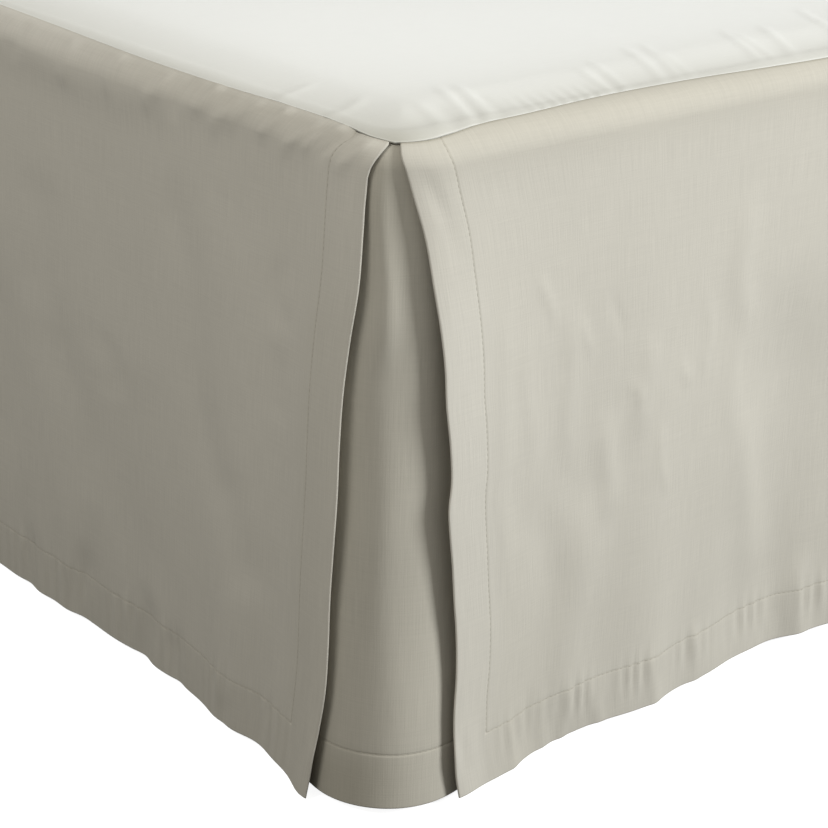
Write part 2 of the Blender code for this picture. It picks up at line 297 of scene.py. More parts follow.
# Creases of the deck near the split corner, measured in from its side edge and along it from its foot edge
DeckCreaseRow = namedtuple("DeckCreaseRow", "inward along to_inward to_along width height")
DECK_CREASES = rows_mm(
    DeckCreaseRow,
    (-12, 24, 44, 50, 3, 0.66),
    (-12, 44, 62, 80, 3, 0.78),
    (-12, 58, 60, 91, 2.8, 0.72),
    (-12, 34, 34, 56, 2.6, -0.48),
    (-12, 51, 42, 76, 2.6, -0.54),
    (-12, 67, 40, 90, 2.6, -0.42),
    (-10, 147, 48, 173, 3, 0.6),
    (-10, 160, 56, 190, 3, 0.6),
    (-10, 154, 36, 176, 2.6, -0.36),
    (-8, 190, 70, 232, 3.2, 0.66),
    (-8, 203, 72, 248, 3, 0.6),
    (-8, 213, 50, 242, 3, 0.54),
    (-6, 272, 70, 315, 3.4, 0.66),
    (-6, 284, 60, 316, 3.2, 0.6),
    (-6, 300, 64, 345, 3.4, 0.66),
    (-4, 352, 86, 402, 3.6, 0.6),
    (-4, 388, 70, 428, 3.6, 0.54),
    (46, -10, 64, 36, 3.4, 0.48),
    (90, -10, 106, 32, 3.8, 0.42),
    (150, -10, 168, 34, 4, 0.36),
)
GATHER_PITCH = 0.0085
GATHER_HEIGHT = 0.0004
GATHERED = (0.085, 0.165)
GATHER_FADES = (0.01, 0.02)
GATHER_LEAN = 0.36
GATHER_INWARD = 0.004
GATHER_REACH = 0.014

# How a crease wanders from its straight line, in its own widths, and over what share of it each end fades
CREASE_WANDER = 0.35
CREASE_BENDS = 7
CREASE_SEED = 90
CREASE_FADE = 0.3

# How much painted shade darkens the cloth in a row of stitches and near the deck's two seams, where a painted
# highlight makes the deck's turned edge pale again
STITCH_SHADE = 0.10
STITCH_SHADE_WIDTH = 0.0006
SIDE_SEAM_SHADE = 0.31
SIDE_SEAM_REACH = 0.045
FOOT_SEAM_SHADE = 0.28
FOOT_SEAM_REACH = 0.034
SEAM_PALE = 0.55
SEAM_RIDGE = 0.0004
SEAM_RIDGE_WIDTH = 0.0026
SEAM_LINE = 0.0016

# How much painted light, or painted shade where negative, each panel shows: on its shoulder (about down, and
# from start to full along it), low down and on its flap; and how much painted shade darkens it at its seam
# and in its hem
ShadeRow = namedtuple("ShadeRow", "top start full down width low flap seam hem")
FOOT_SHADE = ShadeRow(0.13, 0.10, 0.34, 0.014, 0.012, -0.01, -0.05, 0.12, 0.035)
SIDE_SHADE = ShadeRow(-0.15, -0.01, 0.03, 0.002, 0.026, -0.05, 0.05, 0.34, 0.01)
LOW_START = 0.16
LOW_FADE = 0.22
LOW_MIDDLE = 0.06
FLAP_WIDTH = 0.018
FLAP_FADE = 0.03
FLAP_START = 0.06
SEAM_SHADE_WIDTH = 0.0011
HEM_BAND_PITCH = 0.0125
HEM_BAND_SHARE = 0.8
HEM_BAND_START = 0.002

# How much painted shade darkens the inserts: everywhere, near the top, and in the hem beside the foot flap
INSERT_SHADE = 0.165
INSERT_TOP_SHADE = 0.05
INSERT_TOP_DOWN = 0.035
INSERT_TOP_WIDTH = 0.03
INSERT_HEM_SHADE = 0.11
INSERT_HEM_START = 0.008
INSERT_HEM_FADE = 0.025
INSERT_SIDE_START = 0.02
INSERT_SIDE_FADE = 0.05

# Cloth and hems
LINEN_BODY = 0.0011
LINEN_HEM = 0.0016
COTTON_BODY = 0.0011
SIDE_HEM = 0.027
BOTTOM_HEM = 0.032
INSERT_HEM = 0.032
HEM_RISE = 0.00008
HEM_STEP = 0.0016
STITCH_DIP = 0.0003
STITCH_DIP_WIDTH = 0.0006
SEAM_GAP = 0.00004
SEAM_SHARPNESS = 9

# Puckers along the stitched hem lines, and longer waves towards the bottom
FOOT_PUCKER = 0.00070
SIDE_PUCKER = 0.00100
INSERT_PUCKER = 0.00012
PUCKER_PITCH = 0.0115
PUCKER_BELOW = 0.007
PUCKER_REACH = 0.010
INSERT_PUCKER_PITCH = 0.014
INSERT_PUCKER_REACH = 0.008
FOOT_RIPPLE = 0.0010
SIDE_RIPPLE = 0.0007
RIPPLE_PITCH = 0.046
RIPPLE_ABOVE = 0.11
RIPPLE_FADE = 0.10

# Sewing thread and stitch
STITCH_PITCH = 0.0034
STITCH_LENGTH = 0.0026
THREAD_RADIUS = 0.00022
THREAD_SIDES = 5

# Rings of a stitch: place along it in its lengths, and width and height in thread radii
ThreadRow = namedtuple("ThreadRow", "place width height")
THREAD_RINGS = rows(
    ThreadRow,
    (-0.5, 0.25, -1.2),
    (-0.3, 0.9, -0.1),
    (0.3, 0.9, -0.1),
    (0.5, 0.25, -1.2),
)

# Grid steps over the cloth
FINE_STEP = 0.0024
FINE_REACH = 0.45
END_STEP = 0.0055
END_REACH = 0.16
PLAIN_STEP = 0.0092
ROW_STEP = 0.0046
EDGE_MARKS = (0.00012, 0.00035, 0.0007, 0.0012)
LINE_MARKS = (-0.0016, -0.0009, -0.00045, 0.0, 0.00045, 0.0009, 0.0016)
INSERT_SHOULDER_MARKS = (0.0, 0.006, 0.02, 0.05, 0.12, 0.24, 0.38, 0.52, 0.66, 0.80, 0.92)
ROW_APART = 0.002
DECK_BORDER = 0.05
DECK_FINE = 0.0024
DECK_PLAIN = 0.018
DECK_CREASED = 0.11

# Which way a cloth's grid faces, at the right (1) and the left (-1): 1 outward, -1 inward
FOOT_SIGN = 1
DECK_SIGN = 1
SIDE_SIGN = {1: -1, -1: 1}
INSERT_SIGN = {1: -1, -1: 1}

# Woven cloths: their colour, thread pitch, unevenness and shine, and how parts darkened by painted shade turn
# warmer
ClothRow = namedtuple("ClothRow", "name color pitch slub tint weave_height roughness sheen laid")
LINEN = ClothRow("skirt_linen", (0.560, 0.530, 0.460), 0.0008, 0.046, 0.016, 0.00005, 0.9, 0.08, True)
COTTON = ClothRow("deck_cotton", (0.886, 0.887, 0.858), 0.0006, 0.015, 0.006, 0.00005, 0.92, 0.05, True)
COVER = ClothRow("base_cover", (0.620, 0.600, 0.560), 0.0016, 0.06, 0.02, 0.00018, 0.95, 0.05, False)
THREAD = ClothRow("linen_thread", (0.400, 0.374, 0.312), 0.0004, 0.05, 0.02, 0.00003, 0.8, 0.1, False)
PAINTED_SHADE_WARMTH = (1.05, 1.22)

# Lamps, their angles in degrees round from the foot and up from the floor, and the light from all round
LampRow = namedtuple("LampRow", "name azimuth elevation distance size power color")
LAMPS = rows(
    LampRow,
    ("key", 126, 25.5, 4.0, 1.1, 161, (0.955, 0.982, 1.0)),
    ("fill", 8, 45, 2.4, 0.9, 21.2, (1.0, 0.99, 0.95)),
)
LAMP_AIM = (0.68, -0.92, 0.28)
AMBIENT = 0.35
AMBIENT_COLOR = (1.0, 0.985, 0.94)

# The floor: near the bed, within the fade's start, it throws back less light than it shows
FLOOR_RADIUS = 60
FLOOR_CORNERS = 64
BED_HALF = (0.79, 1.03)
FLOOR_FADE = (0.35, 1.1)
FLOOR_BOUNCE = (0.05, 0.50)
FLOOR_COLOR = (0.9, 0.9, 0.9)
FLOOR_GLOW = 0.90

# The photograph's camera, fitted to the seam and hem lines
PHOTO_SIZE = 828
FOCAL_PIXELS = 2296.7
SENSOR = 36.0
EYE_FROM_CORNER = (0.852, -0.710, 0.305)
CAMERA_YAW = math.radians(49.42)
CAMERA_PITCH = math.radians(21.97)
CAMERA_ROLL = math.radians(1.42)

PROBE = 0.0002


def smooth(x):
    """Rises from 0 to 1 with no corner."""
    x = np.clip(x, 0, 1)
    return x * x * (3 - 2 * x)


def bell(x):
    return np.exp(-(x**2))


def curve(table, column, x):
    """The table's column as a smooth curve over its first column."""
    xs = np.array([row[0] for row in table], float)
    ys = np.array([getattr(row, column) for row in table], float)
    slopes = np.gradient(ys, xs)
    x = np.clip(x, xs[0], xs[-1])
    i = np.clip(np.searchsorted(xs, x) - 1, 0, len(xs) - 2)
    width = xs[i + 1] - xs[i]
    t = (x - xs[i]) / width
    start = ys[i] * (1 + 2 * t) * (1 - t) ** 2 + slopes[i] * width * t * (1 - t) ** 2
    return start + ys[i + 1] * t * t * (3 - 2 * t) + slopes[i + 1] * width * t * t * (t - 1)


def uneven(x, pitch, seed):
    """A wave of about this pitch, whose height and spacing wander."""
    drift = 1.1 * np.sin(x / (pitch * 0.61) + seed) + 0.8 * np.sin(x / (pitch * 1.47) + 2.3 * seed)
    height = 0.55 + 0.45 * np.sin(x / (pitch * 0.83) + 1.7 * seed)
    return np.sin(2 * math.pi * x / pitch + drift) * height


def plan_point(sigma, reach):
    """(along, out) of a point that stands reach outside the centre line of the shoulder.

    Sigma runs along the rounded outline from the corner's middle. Along and out are measured from where
    the base's two faces would meet.
    """
    turn = np.clip((HALF_ARC - sigma) / HALF_ARC, 0, 1) * math.pi / 4
    radius = PLAN_RADIUS + reach
    along = BASE_CORNER - radius * np.sin(turn) + np.maximum(sigma - HALF_ARC, 0)
    return along, radius * np.cos(turn) - BASE_CORNER


def fold_out(folds, along):
    return sum(fold.out * bell((along - fold.along) / fold.width) for fold in folds)


class Wall:
    """One side of the bed, seen from a split corner: places on it are (along, out, z)."""

    def __init__(self, face, side, frame_box):
        low, high = frame_box
        self.face = face
        self.side = side
        self.corner = (side * high.x, low.y)

    def place(self, along, out, z):
        x, y = self.corner
        if self.face == "foot":
            return np.stack([x - self.side * along, y - out, z + 0 * along], axis=-1)
        return np.stack([x + self.side * out, y + along, z + 0 * along], axis=-1)


def creased(creases, a, b):
    """How high these creases stand at (a, b). Each row starts with its two ends, as (a, b) and (a, b)."""
    lift = 0.0
    for row in creases:
        step_a, step_b = row[2] - row[0], row[3] - row[1]
        length = math.hypot(step_a, step_b)
        share = ((a - row[0]) * step_a + (b - row[1]) * step_b) / length**2
        off = ((a - row[0]) * step_b - (b - row[1]) * step_a) / length
        off = off + CREASE_WANDER * row.width * np.sin(CREASE_BENDS * share + CREASE_SEED * row[0])
        ends = smooth(share / CREASE_FADE) * smooth((1 - share) / CREASE_FADE)
        lift = lift + row.height * bell(off / row.width) * ends
    return lift


def slip(table, along):
    return np.radians(curve(table, "degrees", along))


class Panel:
    """A hanging panel's outer face, from the free edge at a split corner."""

    def __init__(self, wall, flap, flare_reach, folds, slips, tip_dip):
        self.wall = wall
        self.flap = flap
        self.flare_reach = flare_reach
        self.folds = folds
        self.slips = slips
        self.tip_dip = tip_dip

    def top(self, span):
        """How far down the cloth starts, at the seam."""
        sigma = SPLIT_GAP + span
        for _ in range(2):
            drop = PANEL_ROUND * (1 - np.cos(slip(self.slips, sigma)))
            sigma = SPLIT_GAP + span + curve(self.flap, "drawn", drop) * (1 - smooth(span / DRAW_REACH))
        return PANEL_ROUND * slip(self.slips, sigma)

    def point(self, span, down):
        angle = np.minimum(down / PANEL_ROUND, math.pi / 2)
        hanging = np.maximum(down - PANEL_TURN, 0)
        reach = PANEL_ROUND * np.sin(angle) + HEM_FLARE * (hanging / (DROP - PANEL_ROUND)) ** FLARE_POWER
        drop = PANEL_ROUND * (1 - np.cos(angle)) + hanging
        drawn = curve(self.flap, "drawn", drop) * (1 - smooth(span / DRAW_REACH))
        flare = curve(self.flap, "flare", drop) * (1 - smooth(span / self.flare_reach))
        along, out = plan_point(SPLIT_GAP + span + drawn, reach + flare)
        hung = np.maximum(drop - FOLD_TOP, 0) / (DROP - FOLD_TOP)
        dip = self.tip_dip * (1 - smooth(span / TIP_DIP_REACH)) * hung**4
        return self.wall.place(along, out + fold_out(self.folds, along) * hung, SEAM_TOP - drop - dip)


class FootPanel:
    """The panel across the foot: two panels' halves, each measured from its own split corner."""

    def __init__(self, right, left, width):
        self.right = right
        self.left = left
        self.width = width

    def from_edge(self, span):
        return np.minimum(span, self.width - span)

    def top(self, span):
        return self.right.top(self.from_edge(span))

    def point(self, span, down):
        near = (span < self.width / 2)[..., None]
        edge = self.from_edge(span)
        return np.where(near, self.right.point(edge, down), self.left.point(edge, down))


class Insert:
    """The insert's outer face: its span runs from -INSERT_HALF behind the foot flap to the other side."""

    def __init__(self, foot_wall, side_wall):
        self.foot_wall = foot_wall
        self.side_wall = side_wall

    def top(self, span):
        slips = np.where(span < 0, slip(FOOT_SLIP, abs(span)), slip(SIDE_SLIP, abs(span)))
        return INSERT_ROUND * np.maximum(slips - math.radians(6), INSERT_TUCK)

    def point(self, span, down):
        sigma = abs(span)
        turned = INSERT_ROUND * math.pi / 2
        angle = np.minimum(down / INSERT_ROUND, math.pi / 2)
        drop = INSERT_LEVEL + INSERT_ROUND * (1 - np.cos(angle)) + np.maximum(down - turned, 0)
        upper = plan_point(sigma, INSERT_ROUND * np.sin(angle))
        radius = curve(INSERT_SHAPE, "radius", drop)
        near = curve(INSERT_SHAPE, "near", drop) + PANEL_OUT
        far = curve(INSERT_SHAPE, "far", drop) + PANEL_OUT
        half_arc = radius * math.pi / 4
        turn = np.clip((half_arc - sigma) / radius, 0, None)
        past = np.maximum(sigma - half_arc, 0)
        arm = past / (INSERT_HALF - half_arc)
        along = radius - near - radius * np.sin(turn) + past
        out = near - radius + radius * np.cos(turn) + (far - near) * smooth(arm)
        hangs = down > turned
        along = np.where(hangs, along, upper[0])
        out = np.where(hangs, out, upper[1])
        points = [wall.place(along, out, SEAM_TOP - drop) for wall in (self.foot_wall, self.side_wall)]
        return np.where((span < 0)[..., None], *points)


def normals(shape, span, down):
    """Outward normals of a cloth's face."""
    across = shape.point(span + PROBE, down) - shape.point(span - PROBE, down)
    along = shape.point(span, down + PROBE) - shape.point(span, down - PROBE)
    normal = np.cross(across, along)
    normal /= np.linalg.norm(normal, axis=-1, keepdims=True)
    return normal


class Relief:
    """A cloth's face with its seams, hems and creases raised on it."""

    def __init__(self, shape, height, sign):
        self.shape = shape
        self.height = height
        self.sign = sign

    def point(self, span, down):
        lift = self.height(span, down)[..., None] * self.sign
        return self.shape.point(span, down) + normals(self.shape, span, down) * lift

    def outward(self, span, down):
        return normals(self, span, down) * self.sign


def marks(start, end, step, lines=()):
    """Places from start to end: close at both ends and at the lines, and a step apart elsewhere."""
    count = max(round((end - start) / step), 1)
    plain = start + (end - start) * np.arange(count + 1) / count
    exact = [start + m for m in EDGE_MARKS] + [end - m for m in EDGE_MARKS]
    exact += [line + m for line in lines for m in LINE_MARKS]
    exact = np.array(sorted(exact))
    near = np.abs(plain[1:-1, None] - exact[None, :]).min(axis=1)
    kept = plain[1:-1][near > step * 0.3]
    return np.unique(np.concatenate([[start, end], kept, exact]))


def rounding(edge, thickness):
    """How full the cloth's thickness is at this distance from its edge, which is folded round."""
    inside = np.clip(edge / (thickness / 2), 0, 1)
    return np.sqrt(np.clip(1 - (1 - inside) ** 2, 0, 1))


def mesh_object(name, points, faces, uv, material, tone=None, smooth_angle=60):
    """A mesh with its cloth coordinates as a UV map, and the painted light and shade of each of its points as
    an attribute.
    """
    mesh = bpy.data.meshes.new(name)
    mesh.from_pydata(points.reshape(-1, 3).tolist(), [], faces)
    if uv is not None:
        layer = mesh.uv_layers.new(name="cloth")
        index = np.empty(len(mesh.loops), np.int32)
        mesh.loops.foreach_get("vertex_index", index)
        layer.data.foreach_set("uv", uv[index].astype(np.float32).ravel())
    if tone is not None:
        layer = mesh.attributes.new("tone", "FLOAT", "POINT")
        layer.data.foreach_set("value", tone.astype(np.float32).ravel())
    mesh.materials.append(material)
    mesh.shade_smooth()
    mesh.set_sharp_from_angle(angle=math.radians(smooth_angle))
    obj = bpy.data.objects.new(name, mesh)
    bpy.context.scene.collection.objects.link(obj)
    return obj


def closed_sheet(name, outer, inner, uv, tone, material):
    """A closed thin sheet between two grids of points that meet along their rims."""
    rows, columns = outer.shape[:2]
    outer_index = np.arange(rows * columns).reshape(rows, columns)
    inner_index = outer_index.copy()
    count = (rows - 2) * (columns - 2)
    inner_index[1:-1, 1:-1] = rows * columns + np.arange(count).reshape(rows - 2, columns - 2)
    points = np.concatenate([outer.reshape(-1, 3), inner[1:-1, 1:-1].reshape(-1, 3)])
    coords = np.concatenate([uv.reshape(-1, 2), uv[1:-1, 1:-1].reshape(-1, 2)])
    tones = np.concatenate([tone.ravel(), tone[1:-1, 1:-1].ravel()])

    def quads(index):
        corners = (index[:-1, :-1], index[:-1, 1:], index[1:, 1:], index[1:, :-1])
        return np.stack(corners, axis=-1).reshape(-1, 4)

    front = quads(outer_index)
    back = quads(inner_index)[:, ::-1]
    if signed_volume(points, front, back) < 0:
        front, back = front[:, ::-1], back[:, ::-1]
    return mesh_object(name, points, front.tolist() + back.tolist(), coords, material, tones)


def signed_volume(points, *groups):
    total = 0.0
    for faces in groups:
        a, b, c, d = (points[faces[:, i]] for i in range(4))
        total += np.einsum("ij,ij->i", a, np.cross(b, c)).sum()
        total += np.einsum("ij,ij->i", a, np.cross(c, d)).sum()
    return total


def hung_sheet(name, shape, spans, downs, thickness, tone, edge_distance, material):
    """A sheet from a cloth's raised face, its grid at these spans and downs."""
    outer = shape.point(spans, downs)
    normal = shape.outward(spans, downs)
    thick = thickness(spans, downs)
    full = rounding(edge_distance(spans, downs), thick)
    middle = outer - normal * (thick / 2)[..., None]
    half = normal * (thick / 2 * full)[..., None]
    uv = np.stack([spans, downs], axis=-1)
    return closed_sheet(name, middle + half, middle - half, uv, tone(spans, downs), material)


def panel_shoulder():
    """Places of a panel's rows in its shoulder, as shares of the way from its seam to the shoulder's end."""
    shoulder = marks(0, PANEL_TURN, PANEL_TURN / 10)
    return shoulder[shoulder < PANEL_TURN - 0.001] / PANEL_TURN


def cloth_grid(shape, spans, shoulder, turned, bottom, hem):
    """(spans, downs) of a grid over a hanging cloth, with rows close together at its hem line and edges."""
    lower = marks(turned, bottom, ROW_STEP, [bottom - hem])
    lower = lower[(lower == turned) | (lower > turned + ROW_APART)]
    top = shape.top(spans)[None, :]
    upper = top + (turned - top) * shoulder[:, None]
    downs = np.concatenate([upper, np.repeat(lower[:, None], len(spans), axis=1)])
    return np.broadcast_to(spans, downs.shape).copy(), downs


def hem_layers(edge, depth):
    """0 on the plain cloth to 1 on the hem, with a short step at the hem's inner edge."""
    return 1 - smooth((edge - depth + HEM_STEP / 2) / HEM_STEP)


def line_dip(distance):
    return -STITCH_DIP * bell(distance / STITCH_DIP_WIDTH)


# Painted shade along a stitched line, standing for the shadow in its groove
def stitch_painted_shade(distance):
    return 1 - STITCH_SHADE * bell(distance / STITCH_SHADE_WIDTH)


def hang(obj, node):
    """Puts a hanging linen sheet in its solid's place."""
    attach(obj, "root")
    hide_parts(node)


def stitch_run(shape, spans, downs):
    """(middle, direction, outward) of each stitch along a line of points in the cloth."""
    points = shape.point(spans, downs)
    steps = np.linalg.norm(np.diff(points, axis=0), axis=1)
    length = np.concatenate([[0], np.cumsum(steps)])
    count = int(length[-1] / STITCH_PITCH)
    at = (np.arange(count) + 0.5) * length[-1] / count
    span = np.interp(at, length, spans)
    down = np.interp(at, length, downs)
    middle = shape.point(span, down)
    slopes = [np.gradient(points[:, k], length) for k in range(3)]
    tangent = np.stack([np.interp(at, length, slope) for slope in slopes], axis=-1)
    tangent /= np.linalg.norm(tangent, axis=-1, keepdims=True)
    return middle, tangent, shape.outward(span, down)


def stitches(name, runs, material):
    """Every stitch of these runs as one mesh: short humps of thread that dive into the cloth."""
    middle, tangent, outward = (np.concatenate([run[k] for run in runs]) for k in range(3))
    side = np.cross(outward, tangent)
    turns = 2 * math.pi * np.arange(THREAD_SIDES) / THREAD_SIDES
    rings = []
    for place, width, height in THREAD_RINGS:
        centre = middle + tangent * STITCH_LENGTH * place + outward * THREAD_RADIUS * height
        for turn in turns:
            spread = side * math.cos(turn) + outward * math.sin(turn)
            rings.append(centre + spread * THREAD_RADIUS * width)
    points = np.stack(rings, axis=1)
    per = points.shape[1]
    faces = []
    for ring in range(len(THREAD_RINGS) - 1):
        for i in range(THREAD_SIDES):
            j = (i + 1) % THREAD_SIDES
            low = ring * THREAD_SIDES
            faces.append((low + i, low + THREAD_SIDES + i, low + THREAD_SIDES + j, low + j))
    last = (len(THREAD_RINGS) - 1) * THREAD_SIDES
    quads = np.array(faces)[None] + per * np.arange(len(middle))[:, None, None]
    caps = np.array([list(range(THREAD_SIDES)), [last + i for i in reversed(range(THREAD_SIDES))]])
    caps = caps[None] + per * np.arange(len(middle))[:, None, None]
    everything = quads.reshape(-1, 4).tolist() + caps.reshape(-1, THREAD_SIDES).tolist()
    obj = mesh_object(name, points, everything, None, material)
    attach(obj, "root")


class Nodes:
    """Short calls that add a material's nodes and join them."""

    def __init__(self, tree):
        self.tree = tree

    def add(self, kind, inputs=None, **settings):
        node = self.tree.nodes.new(kind)
        for key, value in settings.items():
            setattr(node, key, value)
        for key, value in (inputs or {}).items():
            self.feed(node.inputs[key], value)
        return node

    def feed(self, socket, value):
        if isinstance(value, bpy.types.NodeSocket):
            self.tree.links.new(value, socket)
        else:
            socket.default_value = value

    def math(self, operation, a, b=0.0):
        return self.add("ShaderNodeMath", {0: a, 1: b}, operation=operation).outputs[0]

    def noise(self, vector, scale, detail=2.0, rough=0.5):
        inputs = {"Vector": vector, "Scale": scale, "Detail": detail, "Roughness": rough}
        return self.add("ShaderNodeTexNoise", inputs).outputs["Fac"]

    def stretched(self, vector, scale):
        inputs = {"Vector": vector, "Scale": scale}
        return self.add("ShaderNodeMapping", inputs).outputs["Vector"]

    def remap(self, value, low, high, to_low, to_high):
        inputs = {"Value": value, "From Min": low, "From Max": high, "To Min": to_low, "To Max": to_high}
        return self.add("ShaderNodeMapRange", inputs).outputs["Result"]


def new_material(name):
    material = bpy.data.materials.new(name)
    material.use_nodes = True
    nodes = Nodes(material.node_tree)
    shader = material.node_tree.nodes["Principled BSDF"]
    return material, nodes, shader


def woven(name, color, pitch, slub, tint, weave_height, roughness, sheen, laid):
    """Plain-woven cloth: crossing threads, slubs along both of them, and faint cloudy colour."""
    material, nodes, shader = new_material(name)
    if laid:
        place = nodes.add("ShaderNodeUVMap", uv_map="cloth").outputs["UV"]
    else:
        place = nodes.add("ShaderNodeTexCoord").outputs["Object"]
    warp = nodes.noise(nodes.stretched(place, (1 / pitch, 0.028 / pitch, 1 / pitch)), 1.0)
    weft = nodes.noise(nodes.stretched(place, (0.022 / pitch, 1 / pitch, 0.022 / pitch)), 1.0)
    cloud = nodes.noise(nodes.stretched(place, (1, 1, 1)), 9.0, detail=3.0)
    slubs = nodes.math("ADD", nodes.math("MULTIPLY", warp, 0.62), nodes.math("MULTIPLY", weft, 0.38))
    shade = nodes.remap(slubs, 0.32, 0.68, 1 - slub, 1 + slub)
    clouds = nodes.remap(cloud, 0.3, 0.7, 1 - tint, 1 + tint)
    factor = nodes.math("MULTIPLY", shade, clouds)
    scaled = nodes.add("ShaderNodeVectorMath", {0: color, "Scale": factor}, operation="SCALE")
    shown = scaled.outputs["Vector"]
    if laid:
        # Laid cloths multiply their colour by the tone attribute, their painted light and shade, with green
        # and blue falling faster where it darkens
        tone = nodes.add("ShaderNodeAttribute", attribute_name="tone").outputs["Fac"]
        green, blue = (nodes.math("POWER", tone, power) for power in PAINTED_SHADE_WARMTH)
        tones = nodes.add("ShaderNodeCombineXYZ", {"X": tone, "Y": green, "Z": blue}).outputs["Vector"]
        toned = nodes.add("ShaderNodeVectorMath", {0: shown, 1: tones}, operation="MULTIPLY")
        shown = toned.outputs["Vector"]
    nodes.feed(shader.inputs["Base Color"], shown)
    axes = nodes.add("ShaderNodeSeparateXYZ", {"Vector": place})
    waves = []
    for axis, wander in (("X", warp), ("Y", weft)):
        turn = nodes.math("MULTIPLY", axes.outputs[axis], 2 * math.pi / pitch)
        waves.append(nodes.math("SINE", nodes.math("ADD", turn, nodes.math("MULTIPLY", wander, 3.0))))
    cross = nodes.math("MULTIPLY", waves[0], waves[1])
    height = nodes.math("ADD", nodes.math("MULTIPLY", cross, 0.35), nodes.math("MULTIPLY", slubs, 3.0))
    bump = nodes.add("ShaderNodeBump", {"Strength": 1.0, "Distance": weave_height, "Height": height})
    nodes.feed(shader.inputs["Normal"], bump.outputs["Normal"])
    shader.inputs["Roughness"].default_value = roughness
    shader.inputs["Specular IOR Level"].default_value = 0.25
    shader.inputs["Sheen Weight"].default_value = sheen
    shader.inputs["Sheen Roughness"].default_value = 0.6
    return material


def wood(name):
    """Oiled wood: long dark grain on a warm brown, with a soft shine."""
    material, nodes, shader = new_material(name)
    place = nodes.add("ShaderNodeTexCoord").outputs["Object"]
    grain = nodes.noise(nodes.stretched(place, (1, 1, 0.06)), 160.0, detail=4.0, rough=0.6)
    rings = nodes.noise(nodes.stretched(place, (1, 1, 0.12)), 34.0, detail=2.0)
    mixed = nodes.math("ADD", nodes.math("MULTIPLY", grain, 0.55), nodes.math("MULTIPLY", rings, 0.45))
    ramp = nodes.add("ShaderNodeValToRGB", {"Fac": mixed})
    ramp.color_ramp.elements[0].position = 0.36
    ramp.color_ramp.elements[0].color = (0.145, 0.078, 0.040, 1)
    ramp.color_ramp.elements[1].position = 0.66
    ramp.color_ramp.elements[1].color = (0.330, 0.200, 0.112, 1)
    nodes.feed(shader.inputs["Base Color"], ramp.outputs["Color"])
    nodes.feed(shader.inputs["Roughness"], nodes.remap(grain, 0.3, 0.7, 0.38, 0.56))
    bump = nodes.add("ShaderNodeBump", {"Strength": 0.5, "Distance": 0.0004, "Height": grain})
    nodes.feed(shader.inputs["Normal"], bump.outputs["Normal"])
    return material


def linen_height(spans_from_edges, creases, pucker, ripple):
    """The relief of a hemmed panel: its stitched lines, the puckers and waves of its hem, and its creases."""

    def height(span, down):
        line = PANEL_CLOTH - down - BOTTOM_HEM
        hem_share = hem_layers(PANEL_CLOTH - down, BOTTOM_HEM)
        inner = 1.0
        sides = 0.0
        for from_edge in spans_from_edges:
            edge = from_edge(span)
            hem_share = np.maximum(hem_share, hem_layers(edge, SIDE_HEM))
            sides = sides + line_dip(edge - SIDE_HEM) * (line > -STITCH_DIP_WIDTH)
            inner = inner * (edge > SIDE_HEM - STITCH_DIP_WIDTH)
        lift = sides + line_dip(line) * inner * (0.5 + 0.4 * uneven(span, PUCKER_PITCH, seed=0.6))
        puckers = uneven(span, PUCKER_PITCH, seed=1.3) * bell((line + PUCKER_BELOW) / PUCKER_REACH)
        waves = uneven(span, RIPPLE_PITCH, seed=0.4)
        waves = waves * smooth((down - PANEL_CLOTH + RIPPLE_ABOVE) / RIPPLE_FADE)
        return lift + HEM_RISE * hem_share + pucker * puckers + ripple * waves + creased(creases, span, down)

    return height


def linen_painted_light_and_shade(panel, spans_from_edges, shade):
    """Painted light and shade on a panel: shade at its seam and stitches, light or shade on its shoulder, low
    down, flap and hem.
    """

    def tone(span, down):
        line = PANEL_CLOTH - down - BOTTOM_HEM
        inner = 1.0
        shown = 1.0
        for from_edge in spans_from_edges:
            edge = from_edge(span)
            shown = np.minimum(shown, np.where(line > 0, stitch_painted_shade(edge - SIDE_HEM), 1))
            inner = inner * (edge > SIDE_HEM)
        shown = np.minimum(shown, np.where(inner > 0, stitch_painted_shade(line), 1))
        # Painted light or painted shade on the shoulder, low down and on the flap; painted shade at the seam
        # and in a wandering band along the hem
        along = smooth((span - shade.start) / (shade.full - shade.start))
        top = shade.top * along * bell((down - shade.down) / shade.width)
        low = shade.low * smooth((down - LOW_START) / LOW_FADE)
        low = low * (0.5 + bell((span - LOW_MIDDLE) / LOW_MIDDLE))
        flap = shade.flap * (1 - smooth((span - FLAP_WIDTH) / FLAP_FADE))
        flap = flap * smooth((down - FLAP_START) / FLAP_START)
        seam = shade.seam * bell((down - panel.top(span)) / SEAM_SHADE_WIDTH)
        hem = shade.hem * (1 + HEM_BAND_SHARE * uneven(span, HEM_BAND_PITCH, seed=1.9))
        hem = hem * smooth((HEM_BAND_START - line) / (2 * HEM_BAND_START)) * inner
        return shown * (1 + top + low + flap - hem) * (1 - seam)

    return tone


def linen_thickness(spans_from_edges, bottom, hem):
    def thickness(span, down):
        share = hem_layers(PANEL_CLOTH - down, bottom)
        for from_edge in spans_from_edges:
            share = np.maximum(share, hem_layers(from_edge(span), hem))
        return LINEN_BODY + (LINEN_HEM - LINEN_BODY) * share

    return thickness


def edge_distance(shape, ends, bottom):
    """A function for the distance to the nearest edge of the cloth."""

    def distance(span, down):
        sides = [SEAM_SHARPNESS * (down - shape.top(span)), bottom - down]
        sides += [abs(span - end) for end in ends]
        return np.clip(np.minimum.reduce(sides), 0, None)

    return distance


def end_distances(width):
    """Functions for how far a place along a cloth of this width is from its near and its far end."""
    return [lambda span: span, lambda span: width - span]


